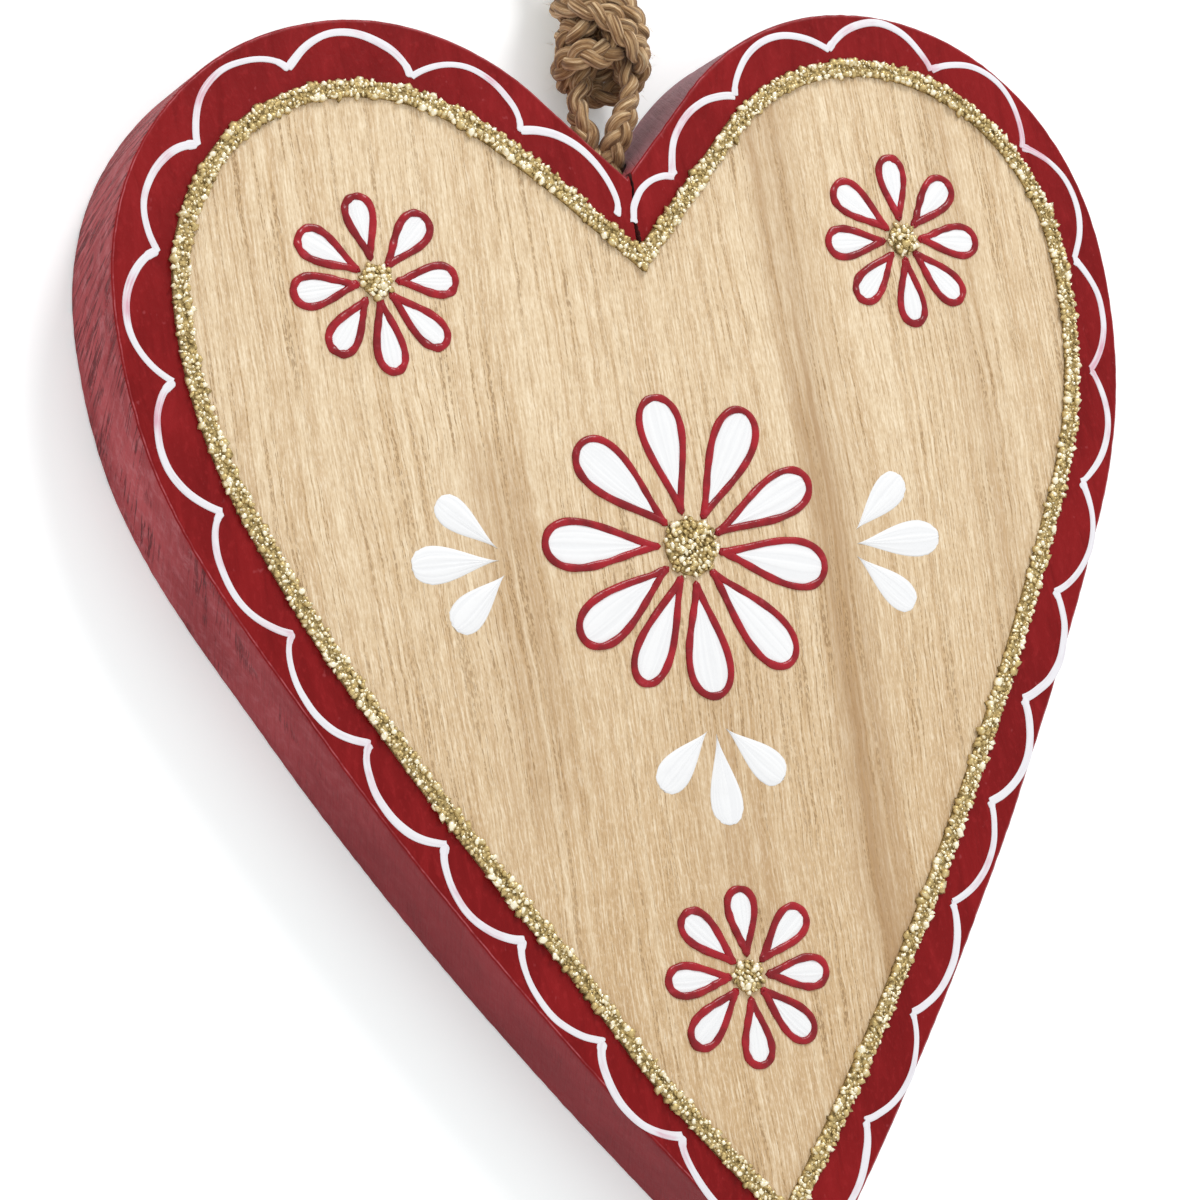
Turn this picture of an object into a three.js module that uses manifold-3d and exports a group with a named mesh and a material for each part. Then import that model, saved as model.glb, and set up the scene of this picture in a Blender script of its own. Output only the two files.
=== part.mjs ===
// Wooden heart ornament with painted border, glitter trim and a plaited jute hanging cord.
// Millimetres. The heart lies on its flat back: +Z comes out of the painted face,
// +Y runs from the tip to the notch, and the origin is under the middle of the heart.

import * as THREE from 'three';
import * as BufferGeometryUtils from 'three/addons/utils/BufferGeometryUtils.js';
import Module from 'manifold-3d';

const wasm = await Module();
wasm.setup();

// Heart board
const BOARD_THICKNESS = 16;
const EDGE_ROUNDING = 0.6;
const LOBE_RADIUS = 41;
const LOBE_OFFSET = 41.5;
const FLANK_RADIUS = 76.5;
const LOWER_FLANK_RADIUS = 557;
const LOBE_START = 135;
const FLANK_START = 4.5;
const LOWER_FLANK_START = -27.5;
const TIP_RADIUS = 2;

// Number of straight steps that stand for each round stretch of the outline
const LOBE_STEPS = 34;
const FLANK_STEPS = 12;
const LOWER_FLANK_STEPS = 12;
const TIP_STEPS = 4;

// Blind hole in the notch that takes both ends of the cord
const CORD_HOLE_DIAMETER = 8.6;
const CORD_HOLE_DEPTH = 12;
const CORD_HOLE_SIDES = 24;

// Split along the grain, from the notch down to the glitter line
const SPLIT_LENGTH = 12.5;
const SPLIT_WIDTH = 0.5;
const SPLIT_DEPTH = 0.7;
const SPLIT_X = 0.5;

// Glitter paste: two beads side by side, on the line between the paint and the bare wood
const GLITTER_INSET = 8.7;
const GLITTER_WIDTH = 2.9;
const GLITTER_HEIGHT = 1;
const GLITTER_TIP_RADIUS = 0.8;
// Section across the bead, from the outer foot to the inner foot: part of the half width, part of the height
const GLITTER_SECTION = [[-1, 0], [-0.86, 0.62], [-0.5, 1], [0, 0.74], [0.5, 1], [0.86, 0.62], [1, 0]];
// The hand-laid line wanders on the left side: share of the way up from the tip, and how far inwards
const GLITTER_DRIFT = [
  [0, -2.3], [0.08, -2.1], [0.2, -0.3], [0.39, -0.1], [0.5, 1.2], [0.72, 1.2], [0.86, 2], [0.95, 0.4], [1, 0],
];
const GLITTER_TIP_SHIFT = new THREE.Vector2(-1.6, -1.7);

// Glitter dots in the flowers: centre on the face, radius and height
const FLOWER_DOTS = {
  centre_flower_glitter: { x: 0.4, y: 13.7, radius: 4.5, height: 1.2 },
  left_flower_glitter: { x: -42.9, y: 55.1, radius: 2.5, height: 0.9 },
  right_flower_glitter: { x: 45.7, y: 57.7, radius: 2.5, height: 0.9 },
  lower_flower_glitter: { x: -1.7, y: -48.3, radius: 2.5, height: 0.9 },
};
const DOT_SIDES = 24;
const DOT_RINGS = 5;

// Cord: plaited jute, doubled through an overhand knot
const CORD_DIAMETER = 4.2;
const CORD_SIDES = 8;
const CORD_STEPS = 120;
const CORD_PIECES = 12;
const CORD_HOLE_REACH = 8;
const KNOT_CENTRE = new THREE.Vector3(3.6, 89.9, 8);
const KNOT_TURN = 30;

// The two strands through the knot, from the leg to the loop: across, along and out of the knot's own face
const LEFT_STRAND = [
  [-4.2, -12.8, 1.8], [-4.7, -8, 1], [-3.6, -4, -0.4], [-2, 1, -1.9], [-2.3, 5.5, -2.4], [-4.3, 8.6, -1.2],
  [-4.4, 7.8, 2.4], [-1.9, 6.7, 5.2], [1.2, 5, 5.9], [3.4, 2.2, 5.4], [5.4, -0.8, 3], [5.7, -2.4, -1],
  [3.8, -3.8, -4.3], [0, -4.8, -5.2], [-4, -4, -4], [-6.2, -2.2, -0.4], [-5.2, -1.2, 3.2], [-2.4, -0.8, 4.9],
  [0.8, -1, 3.9], [2.4, 0.8, 2.4], [2.3, 4.8, 1.8], [2.2, 10, 1.4],
];
const RIGHT_STRAND = [
  [0.9, -12.6, 2.6], [3.1, -7.6, 0.8], [3.3, -4.3, 0], [1.6, 1, -1.9], [1.3, 6, -2.4], [0.4, 10.4, -3],
  [-3, 12.4, -1.8], [-4.6, 11.4, 1.8], [-2.2, 10.7, 5], [2.2, 8.6, 5], [5.2, 5, 3.4], [6.2, 2, 0],
  [4.4, -0.1, -4.3], [0.5, -1, -5.2], [-3.8, 0, -4.2], [-5, 2.4, -0.4], [-4.4, 3.2, 3], [-2.2, 3.3, 4],
  [-1.3, 5, 2.2], [-1.7, 9, 1.4], [-2, 13.5, 1],
];
// The hanging loop beyond the knot, lying on the surface
const LOOP = [
  [7.5, 111.9, 7.6], [14, 125.9, 3.2], [19.5, 143.9, 2.3], [19.5, 161.9, 2.3], [12, 174.9, 2.3],
  [2, 176.4, 2.3], [-7, 166.9, 2.3], [-9.5, 150.9, 2.3], [-6.5, 132.9, 2.7], [-0.5, 117.9, 5.8],
];

const radians = THREE.MathUtils.degToRad;

// Points of a round stretch, without its last one
function arc(centre, radius, from, to, steps) {
  const points = [];
  for (let i = 0; i < steps; i += 1) {
    const angle = from + (to - from) * i / steps;
    points.push(new THREE.Vector2(centre.x + radius * Math.cos(angle), centre.y + radius * Math.sin(angle)));
  }
  return points;
}

// The heart's outline drawn in by a distance, as one closed loop that starts in the notch.
// The lobe runs at 45 degrees straight into the notch, and two wide arcs run down to the tip.
function heartOutline(inset, tipRadius, lobeY) {
  const lobe = new THREE.Vector2(LOBE_OFFSET, lobeY);
  const lobeStart = radians(LOBE_START);
  const flankStart = radians(FLANK_START);
  const lowerStart = radians(LOWER_FLANK_START);
  const direction = (angle) => new THREE.Vector2(Math.cos(angle), Math.sin(angle));
  const flank = lobe.clone().addScaledVector(direction(flankStart), LOBE_RADIUS - FLANK_RADIUS);
  const lower = flank.clone().addScaledVector(direction(lowerStart), FLANK_RADIUS - LOWER_FLANK_RADIUS);
  const tipReach = LOWER_FLANK_RADIUS - inset - tipRadius;
  const tip = new THREE.Vector2(0, lower.y - Math.sqrt(tipReach ** 2 - lower.x ** 2));
  const tipStart = Math.atan2(tip.y - lower.y, tip.x - lower.x);

  const lobeRadius = LOBE_RADIUS - inset;
  const right = [
    ...arc(lobe, lobeRadius, lobeStart, flankStart, LOBE_STEPS),
    ...arc(flank, FLANK_RADIUS - inset, flankStart, lowerStart, FLANK_STEPS),
    ...arc(lower, LOWER_FLANK_RADIUS - inset, lowerStart, tipStart, LOWER_FLANK_STEPS),
    ...arc(tip, tipRadius, tipStart, -Math.PI / 2, TIP_STEPS),
  ];
  const notch = new THREE.Vector2(0, right[0].y - right[0].x);
  const tipPoint = new THREE.Vector2(0, tip.y - tipRadius);
  const left = right.map((point) => new THREE.Vector2(-point.x, point.y)).reverse();
  return [notch, ...right, tipPoint, ...left];
}

// Height of the lobes' centres that puts the origin halfway between the tip and the lobe tops
function centredLobeY() {
  const outline = heartOutline(0, TIP_RADIUS, 0);
  const lowest = Math.min(...outline.map((point) => point.y));
  return -(lowest + LOBE_RADIUS) / 2;
}
const LOBE_Y = centredLobeY();
const NOTCH_Y = heartOutline(0, TIP_RADIUS, LOBE_Y)[0].y;

// Closed three.js geometry to a manifold solid, and back
function toSolid(geometry) {
  const bare = geometry.clone();
  bare.deleteAttribute('normal');
  bare.deleteAttribute('uv');
  const merged = BufferGeometryUtils.mergeVertices(bare, 1e-4);
  return new wasm.Manifold(new wasm.Mesh({
    numProp: 3,
    vertProperties: new Float32Array(merged.attributes.position.array),
    triVerts: new Uint32Array(merged.index.array),
  }));
}

function toGeometry(solid) {
  const mesh = solid.getMesh();
  const geometry = new THREE.BufferGeometry();
  geometry.setAttribute('position', new THREE.BufferAttribute(mesh.vertProperties, 3));
  geometry.setIndex(new THREE.BufferAttribute(mesh.triVerts, 1));
  geometry.computeVertexNormals();
  return geometry;
}

// The sawn board with eased edges, before it is drilled
function boardBlank() {
  const shape = new THREE.Shape(heartOutline(0, TIP_RADIUS, LOBE_Y));
  const geometry = new THREE.ExtrudeGeometry(shape, {
    depth: BOARD_THICKNESS - 2 * EDGE_ROUNDING,
    bevelEnabled: true,
    bevelThickness: EDGE_ROUNDING,
    bevelSize: EDGE_ROUNDING,
    bevelOffset: -EDGE_ROUNDING,
    bevelSegments: 2,
    steps: 1,
  });
  return toSolid(geometry.translate(0, 0, EDGE_ROUNDING));
}

function cordHole() {
  const clearOfNotch = CORD_HOLE_DIAMETER;
  const length = CORD_HOLE_DEPTH + clearOfNotch;
  const geometry = new THREE.CylinderGeometry(
    CORD_HOLE_DIAMETER / 2,
    CORD_HOLE_DIAMETER / 2,
    length,
    CORD_HOLE_SIDES,
  );
  geometry.translate(0, NOTCH_Y + clearOfNotch - length / 2, BOARD_THICKNESS / 2);
  return toSolid(geometry);
}

// A wedge-shaped groove that is widest at the face
function split() {
  const proud = 0.2;
  const wedge = new THREE.Shape([
    new THREE.Vector2(0, -SPLIT_DEPTH),
    new THREE.Vector2(SPLIT_WIDTH / 2, proud),
    new THREE.Vector2(-SPLIT_WIDTH / 2, proud),
  ]);
  const geometry = new THREE.ExtrudeGeometry(wedge, { depth: SPLIT_LENGTH, bevelEnabled: false });
  geometry.rotateX(Math.PI / 2);
  return toSolid(geometry.translate(SPLIT_X, NOTCH_Y + SPLIT_X, BOARD_THICKNESS));
}

function heartBody() {
  return toGeometry(boardBlank().subtract(cordHole()).subtract(split()));
}

// How far inwards the glitter line wanders at a share of the way up the left side
function glitterDrift(share) {
  const after = GLITTER_DRIFT.findIndex(([stop]) => stop >= share);
  if (after <= 0) return 0;
  const [from, start] = GLITTER_DRIFT[after - 1];
  const [to, end] = GLITTER_DRIFT[after];
  return start + (end - start) * THREE.MathUtils.smoothstep(share, from, to);
}

// One loop of the glitter line: the drawn-in outline, with its left side and its tip moved
function glitterLoop(inset) {
  const outline = heartOutline(inset, GLITTER_TIP_RADIUS, LOBE_Y);
  const count = outline.length;
  const tip = count / 2;
  const travelled = [0];
  for (let i = tip; i < count; i += 1) {
    travelled.push(travelled[i - tip] + outline[i].distanceTo(outline[(i + 1) % count]));
  }
  const whole = travelled[count - tip];
  return outline.map((point, i) => {
    if (Math.abs(i - tip) <= TIP_STEPS) return point.clone().add(GLITTER_TIP_SHIFT);
    if (i < tip) return point;
    const run = outline[(i + 1) % count].clone().sub(outline[i - 1]).normalize();
    const inwards = new THREE.Vector2(run.y, -run.x);
    return point.clone().addScaledVector(inwards, glitterDrift(travelled[i - tip] / whole));
  });
}

// The double bead: one loop of points for each point of its section, joined loop to loop
function glitterBorder() {
  const loops = GLITTER_SECTION.map(([across, height]) => {
    const inset = GLITTER_INSET + across * GLITTER_WIDTH / 2;
    return glitterLoop(inset).map((point) => [point.x, point.y, BOARD_THICKNESS + height * GLITTER_HEIGHT]);
  });
  const count = loops[0].length;
  const indices = [];
  loops.forEach((_, row) => {
    const nextRow = (row + 1) % loops.length;
    for (let i = 0; i < count; i += 1) {
      const next = (i + 1) % count;
      const [a, b] = [row * count + i, row * count + next];
      const [c, d] = [nextRow * count + next, nextRow * count + i];
      indices.push(a, c, b, a, d, c);
    }
  });
  const geometry = new THREE.BufferGeometry();
  geometry.setAttribute('position', new THREE.Float32BufferAttribute(loops.flat(2), 3));
  geometry.setIndex(indices);
  geometry.computeVertexNormals();
  return geometry;
}

// A low dome with a flat foot
function glitterDot({ radius, height }) {
  const profile = [new THREE.Vector2(0, 0)];
  for (let i = 0; i <= DOT_RINGS; i += 1) {
    const angle = (Math.PI / 2) * i / DOT_RINGS;
    profile.push(new THREE.Vector2(i === DOT_RINGS ? 0 : radius * Math.cos(angle), height * Math.sin(angle)));
  }
  const dome = new THREE.LatheGeometry(profile, DOT_SIDES);
  return toGeometry(toSolid(dome.rotateX(Math.PI / 2)));
}

// Middle line of the whole cord: up one leg, through the knot, round the loop and back down the other leg
function cordRoute() {
  const turn = radians(KNOT_TURN);
  const across = new THREE.Vector3(Math.cos(turn), 0, Math.sin(turn));
  const along = new THREE.Vector3(0, 1, 0);
  const out = new THREE.Vector3(-Math.sin(turn), 0, Math.cos(turn));
  const place = ([x, y, z]) => KNOT_CENTRE.clone()
    .addScaledVector(across, x)
    .addScaledVector(along, y)
    .addScaledVector(out, z);
  const spacing = 2.8;
  const middle = BOARD_THICKNESS / 2;
  const leg = (x) => [
    new THREE.Vector3(x, NOTCH_Y - CORD_HOLE_REACH, middle),
    new THREE.Vector3(x, NOTCH_Y + 2.7, middle + 0.2),
  ];
  return new THREE.CatmullRomCurve3([
    ...leg(-spacing / 2),
    ...LEFT_STRAND.map(place),
    ...LOOP.map((point) => new THREE.Vector3(...point)),
    ...RIGHT_STRAND.map(place).reverse(),
    ...leg(spacing / 2).reverse(),
  ], false, 'centripetal');
}

// The cord as one solid. It touches itself in the knot, so it is swept in short pieces that are joined.
function hangingCord() {
  const points = cordRoute().getPoints(CORD_STEPS);
  const section = new THREE.Shape(arc(new THREE.Vector2(), CORD_DIAMETER / 2, 0, 2 * Math.PI, CORD_SIDES));
  const perPiece = CORD_STEPS / CORD_PIECES;
  const pieces = [];
  for (let i = 0; i < CORD_PIECES; i += 1) {
    const stretch = points.slice(i * perPiece, (i + 1) * perPiece + 1);
    pieces.push(toSolid(new THREE.ExtrudeGeometry(section, {
      extrudePath: new THREE.CatmullRomCurve3(stretch),
      steps: perPiece,
      bevelEnabled: false,
    })));
  }
  return toGeometry(wasm.Manifold.union(pieces));
}

function material(color, roughness, metalness) {
  return new THREE.MeshStandardMaterial({ color, roughness, metalness });
}

function named(name, geometry, surface) {
  const mesh = new THREE.Mesh(geometry, surface);
  mesh.name = name;
  return mesh;
}

const paintedWood = material(0x8b1c1e, 0.5, 0);
const goldGlitter = material(0xb9a35a, 0.35, 0.8);
const jute = material(0xa98559, 0.95, 0);

const ornament = new THREE.Group();
ornament.add(named('heart_body', heartBody(), paintedWood));
ornament.add(named('glitter_border', glitterBorder(), goldGlitter));
for (const [name, dot] of Object.entries(FLOWER_DOTS)) {
  const mesh = named(name, glitterDot(dot), goldGlitter.clone());
  mesh.position.set(dot.x, dot.y, BOARD_THICKNESS);
  ornament.add(mesh);
}
ornament.add(named('hanging_cord', hangingCord(), jute));

export default ornament;
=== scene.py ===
"""Looks of the wooden heart ornament: painted and bare wood, glitter paste and plaited jute cord."""

import math

import bpy
import numpy as np
from mathutils import Matrix, Vector


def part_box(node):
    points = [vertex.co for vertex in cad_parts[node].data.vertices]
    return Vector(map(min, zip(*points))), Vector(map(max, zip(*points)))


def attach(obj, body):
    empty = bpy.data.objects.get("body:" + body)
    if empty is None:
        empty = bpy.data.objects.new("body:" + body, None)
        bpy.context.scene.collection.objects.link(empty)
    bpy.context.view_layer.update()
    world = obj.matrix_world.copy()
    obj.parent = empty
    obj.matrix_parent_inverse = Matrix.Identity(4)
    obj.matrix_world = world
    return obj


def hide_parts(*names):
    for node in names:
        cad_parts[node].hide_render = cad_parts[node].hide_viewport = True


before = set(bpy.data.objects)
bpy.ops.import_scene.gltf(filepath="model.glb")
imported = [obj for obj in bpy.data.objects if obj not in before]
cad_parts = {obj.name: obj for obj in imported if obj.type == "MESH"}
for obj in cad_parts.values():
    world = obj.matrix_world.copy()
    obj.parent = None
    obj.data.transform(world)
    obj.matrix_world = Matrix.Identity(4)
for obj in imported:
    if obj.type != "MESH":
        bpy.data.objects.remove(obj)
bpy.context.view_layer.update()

MM = 0.001

# Heart board, from the same driving dimensions as its solid
LOBE_RADIUS = 41 * MM
LOBE_OFFSET = 41.5 * MM
FLANK_RADIUS = 76.5 * MM
LOWER_FLANK_RADIUS = 557 * MM
LOBE_START = math.radians(135)
FLANK_START = math.radians(4.5)
LOWER_FLANK_START = math.radians(-27.5)
TIP_RADIUS = 2 * MM
EDGE_ROUNDING = 0.6 * MM
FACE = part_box("heart_body")[1].z
LOBE_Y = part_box("heart_body")[1].y - LOBE_RADIUS
# Points on the straight into the notch, the lobe, the two flank arcs and the tip
OUTLINE_STEPS = (46, 240, 110, 330, 6)
WALL_ROWS = 30
BAND_ROWS = 4
# Saw marks on the edge: how far they lean along the outline for each step up the wall
SAW_SLANT = 0.62
SAW_MARKS = 240
SAW_DEPTH = 0.16 * MM
SAW_FADE = 1.1 * MM
# Slow waves of the sawn outline, and small nicks along its eased edges
WOBBLE = 0.07 * MM
NICKS = 0.035 * MM
# Bands in the bare wood, in metres: middle and width across, start and end along, and depth of colour
WOOD_BANDS = [
    (0.0246, 0.0040, -0.2, 0.2, 0.75), (0.0225, 0.0016, -0.2, 0.03, 0.6), (-0.028, 0.006, -0.03, 0.024, 0.45),
    (0.0545, 0.004, -0.08, 0.2, 0.3), (0.002, 0.008, -0.05, -0.01, 0.3),
]
BAND_FADE = 0.012

# Blind hole for the cord, and the split below it: across, along and the crack's width at the face, in mm
CORD_HOLE_DIAMETER = 8.6 * MM
CORD_HOLE_DEPTH = 12 * MM
SPLIT_DEPTH = 1.6 * MM
SPLIT_PATH = [
    (0.5, 71.5, 0.8), (0.6, 69.4, 0.66), (0.62, 66.8, 0.5), (0.3, 64.2, 0.42), (0.1, 61.9, 0.7),
    (0.2, 60.3, 0.95), (0.3, 58.8, 1.0), (0.35, 57.4, 0.7), (0.4, 56.4, 0.2),
]

# Glitter paste: a double bead. The drift says how it wanders on the left side: the share of the way up
# from the tip, and how far inwards in mm
GLITTER_INSET = 8.7 * MM
GLITTER_WIDTH = 2.9 * MM
GLITTER_HEIGHT = 1 * MM
GLITTER_TIP_RADIUS = 0.8 * MM
GLITTER_TIP_SHIFT = np.array([-1.6, -1.7]) * MM
GLITTER_DRIFT = [
    (0, -2.3), (0.08, -2.1), (0.2, -0.3), (0.39, -0.1), (0.5, 1.2), (0.72, 1.2), (0.86, 2), (0.95, 0.4),
    (1, 0),
]
GLITTER_SECTION = [(-1, 0), (-0.86, 0.62), (-0.5, 1), (0, 0.74), (0.5, 1), (0.86, 0.62), (1, 0)]
PASTE_HALF = GLITTER_WIDTH * 0.44
PASTE_SINK = 0.03 * MM
PASTE_TINT = 0.24
# Nuggets stuck in the paste: place across as a share of its half width, middle radius and spacing in mm
GRAIN_ROWS = [
    (-0.78, 0.52, 0.92), (0.78, 0.52, 0.92), (-0.48, 0.38, 0.74), (0.48, 0.38, 0.74), (-0.62, 0.24, 0.6),
    (0.62, 0.24, 0.6), (-0.12, 0.27, 0.95), (0.14, 0.27, 0.95),
]
GRAIN_TINTS = (0.3, 1.1)
DOT_GRAIN_RADIUS = 0.47 * MM
# Turn from one grain of a dot to the next, so that they fill it evenly
GOLDEN_ANGLE = 2.399963

# Flowers: centre on the face, glitter dot's radius and height, and each petal's angle, reach and width,
# in mm and degrees
FLOWERS = {
    "centre": {
        "centre": (0.4, 13.7), "dot": (4.5, 1.2),
        "petals": [
            (95, 22.9, 7.8), (56, 23.7, 7.7), (21, 23.6, 7.2), (-13, 23.0, 8.0), (-52, 23.2, 7.9),
            (-90, 22.4, 7.8), (-120, 22.5, 6.5), (-149, 23.5, 7.6), (174, 24.1, 7.9), (134, 22.8, 8.2),
        ],
    },
    "left": {
        "centre": (-42.9, 55.1), "dot": (2.5, 0.9),
        "petals": [
            (96, 12.9, 5.3), (45, 13.2, 5.6), (-2, 12.9, 5.4), (-46, 13.8, 5.3),
            (-87, 13.7, 5.3), (-129, 13.1, 5.4), (-174, 13.5, 5.5), (146, 13.4, 5.6),
        ],
    },
    "right": {
        "centre": (45.7, 57.7), "dot": (2.5, 0.9),
        "petals": [
            (90, 13.4, 5.4), (42, 13.7, 5.7), (-2, 13.8, 5.7), (-47, 13.6, 5.5),
            (-91, 13.6, 5.3), (-137, 13.2, 5.3), (-179, 13.7, 5.5), (140, 14.0, 5.8),
        ],
    },
    "lower": {
        "centre": (-1.7, -48.3), "dot": (2.5, 0.9),
        "petals": [
            (86, 13.0, 5.5), (38, 13.9, 5.6), (-5, 13.5, 5.4), (-48, 13.7, 5.5),
            (-91, 13.3, 5.4), (-141, 13.8, 5.5), (177, 13.5, 5.4), (132, 13.7, 5.6),
        ],
    },
}
LINER_WIDTH = 1.15 * MM
LINER_HEIGHT = 0.38 * MM
PETAL_RISE = 0.16 * MM
DROP_RISE = 0.2 * MM
# Paint sinks this far into the surface, a stroke's section has this many points, and a fill half its rows
PAINT_FOOT = 0.05 * MM
BEAD_SIDES = 9
FILL_ROWS = 12

# White drops between the flowers: the point towards the flower, the round end, and the width, in mm
DROPS = [
    ((-30.6, 15.9), (-38.9, 23.3), 4.8), ((-30.6, 14.2), (-44.3, 14.3), 5.5),
    ((-30.1, 12.1), (-39.2, 5.2), 5.1), ((28.9, 14.2), (38.4, 21.5), 4.9),
    ((28.6, 12.1), (43.1, 11.9), 5.5), ((28.3, 10.2), (36.8, 2.0), 5.0),
    ((-1.8, -13.0), (-10.7, -20.5), 5.1), ((-0.4, -13.5), (-0.6, -26.7), 5.3),
    ((1.3, -12.9), (9.4, -21.2), 5.3),
]

# White scallops from the notch to the tip: each cusp, and how far the arc that follows it swells, in mm
LEFT_CUSPS = [
    (-2.8, 63.1, 4.5), (-16.4, 76.2, 5.5), (-32.5, 84.5, 6.0), (-51.4, 86.0, 5.8), (-66.7, 75.3, 4.7),
    (-74.9, 60.6, 5.7), (-75.4, 42.4, 5.4), (-71.2, 24.1, 4.7), (-63.5, 6.6, 4.3), (-54.6, -9.4, 4.2),
    (-45.4, -24.4, 4.0), (-36.0, -38.8, 3.9), (-26.1, -54.1, 4.1), (-16.2, -68.9, 3.7), (-1.6, -86.4, 0),
]
RIGHT_CUSPS = [
    (0.0, 62.0, 2.5), (7.9, 68.7, 4.1), (20.6, 80.7, 5.5), (38.4, 87.6, 5.9), (56.4, 84.1, 6.3),
    (70.8, 71.5, 5.2), (76.7, 53.4, 4.0), (76.1, 35.9, 4.1), (70.8, 18.6, 4.2), (62.4, 2.1, 4.2),
    (53.2, -13.5, 3.7), (44.2, -28.2, 3.3), (34.5, -42.1, 3.6), (24.5, -57.0, 3.8), (13.6, -71.1, 3.5),
    (1.0, -86.2, 0),
]
SCALLOP_WIDTH = 1.12 * MM
SCALLOP_STEPS = 48
# How quickly an arc swells from its start and falls to its end, on each side
LEFT_SWELL = (1.2, 1.8)
RIGHT_SWELL = (1.6, 1.75)

# Cord: plaited jute, doubled through an overhand knot; the points of its route are in mm
CORD_HOLE_REACH = 8
KNOT_CENTRE = np.array([3.6, 89.9, 8])
KNOT_TURN = math.radians(30)
LEG_SPACING = 2.8
# The two strands through the knot, from the leg to the loop: across, along and out of the knot's own face
LEFT_STRAND = [
    (-4.2, -12.8, 1.8), (-4.7, -8, 1), (-3.6, -4, -0.4), (-2, 1, -1.9), (-2.3, 5.5, -2.4),
    (-4.3, 8.6, -1.2), (-4.4, 7.8, 2.4), (-1.9, 6.7, 5.2), (1.2, 5, 5.9), (3.4, 2.2, 5.4), (5.4, -0.8, 3),
    (5.7, -2.4, -1), (3.8, -3.8, -4.3), (0, -4.8, -5.2), (-4, -4, -4), (-6.2, -2.2, -0.4),
    (-5.2, -1.2, 3.2), (-2.4, -0.8, 4.9), (0.8, -1, 3.9), (2.4, 0.8, 2.4), (2.3, 4.8, 1.8), (2.2, 10, 1.4),
]
RIGHT_STRAND = [
    (0.9, -12.6, 2.6), (3.1, -7.6, 0.8), (3.3, -4.3, 0), (1.6, 1, -1.9), (1.3, 6, -2.4), (0.4, 10.4, -3),
    (-3, 12.4, -1.8), (-4.6, 11.4, 1.8), (-2.2, 10.7, 5), (2.2, 8.6, 5), (5.2, 5, 3.4), (6.2, 2, 0),
    (4.4, -0.1, -4.3), (0.5, -1, -5.2), (-3.8, 0, -4.2), (-5, 2.4, -0.4), (-4.4, 3.2, 3), (-2.2, 3.3, 4),
    (-1.3, 5, 2.2), (-1.7, 9, 1.4), (-2, 13.5, 1),
]
LOOP = [
    (7.5, 111.9, 7.6), (14, 125.9, 3.2), (19.5, 143.9, 2.3), (19.5, 161.9, 2.3), (12, 174.9, 2.3),
    (2, 176.4, 2.3), (-7, 166.9, 2.3), (-9.5, 150.9, 2.3), (-6.5, 132.9, 2.7), (-0.5, 117.9, 5.8),
]
PLAIT_PERIOD = 9.6 * MM
PLAIT_SWAY = 1.16 * MM
PLAIT_DEPTH = 0.6 * MM
STRAND_RADIUS = 1.06 * MM
STRAND_SIDES = 18
STRAND_FLATNESS = 0.86
# Length of strand in which its plies turn by one radian
PLY_TWIST = 4.6 * MM
PLIES = 4
# Scale of the fibre pattern round a strand and along it, per metre
FIBRES_ROUND = 2.7
FIBRES_ALONG = 330
CORD_STEP = 0.4 * MM
# Loose hairs along the cord, and more in the tuft at the foot of the right leg
HAIRS = 1700
TUFT_HAIRS = 90
TUFT_RISE = 1.8
TUFT_THICKNESS = 2.2
HAIR_STEPS = 6
HAIR_SIDES = 3

# Camera at the photograph's viewing angle, looking down on the heart as it lies
CAMERA_PLACE = Vector((-274.4, -56.8, 483.05)) * MM
CAMERA_LOOK = Vector((0.4811, 0.1192, -0.8685)).normalized()
CAMERA_UP = Vector((0.0822, 0.9802, 0.1800)).normalized()
CAMERA_LENS = 113.755
CAMERA_SENSOR = 36

# Studio: one soft key from the upper right, and the floor's own faint glow, which lifts the shadow
KEY_PLACE = (0.45, 0.95, 0.85)
KEY_SIZE = 0.4
KEY_POWER = 7
SURROUND_STRENGTH = 0.93
FLOOR_HALF = 3.0
FLOOR_DROP = 0.05 * MM
FLOOR_COLOUR = (0.96, 0.96, 0.965, 1)
FLOOR_GLOW = (0.8, 1.0, 0.99, 1)
FLOOR_GLOW_STRENGTH = 0.19


def make_camera():
    data = bpy.data.cameras.new("photo_camera")
    data.lens = CAMERA_LENS
    data.sensor_width = CAMERA_SENSOR
    camera = bpy.data.objects.new("photo_camera", data)
    right = CAMERA_LOOK.cross(CAMERA_UP).normalized()
    up = right.cross(CAMERA_LOOK)
    turn = Matrix((right, up, -CAMERA_LOOK)).transposed()
    camera.matrix_world = Matrix.Translation(CAMERA_PLACE) @ turn.to_4x4()
    bpy.context.scene.collection.objects.link(camera)
    bpy.context.scene.camera = camera


def fill_inputs(node, values):
    for key, value in values.items():
        node.inputs[key].default_value = value


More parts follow.
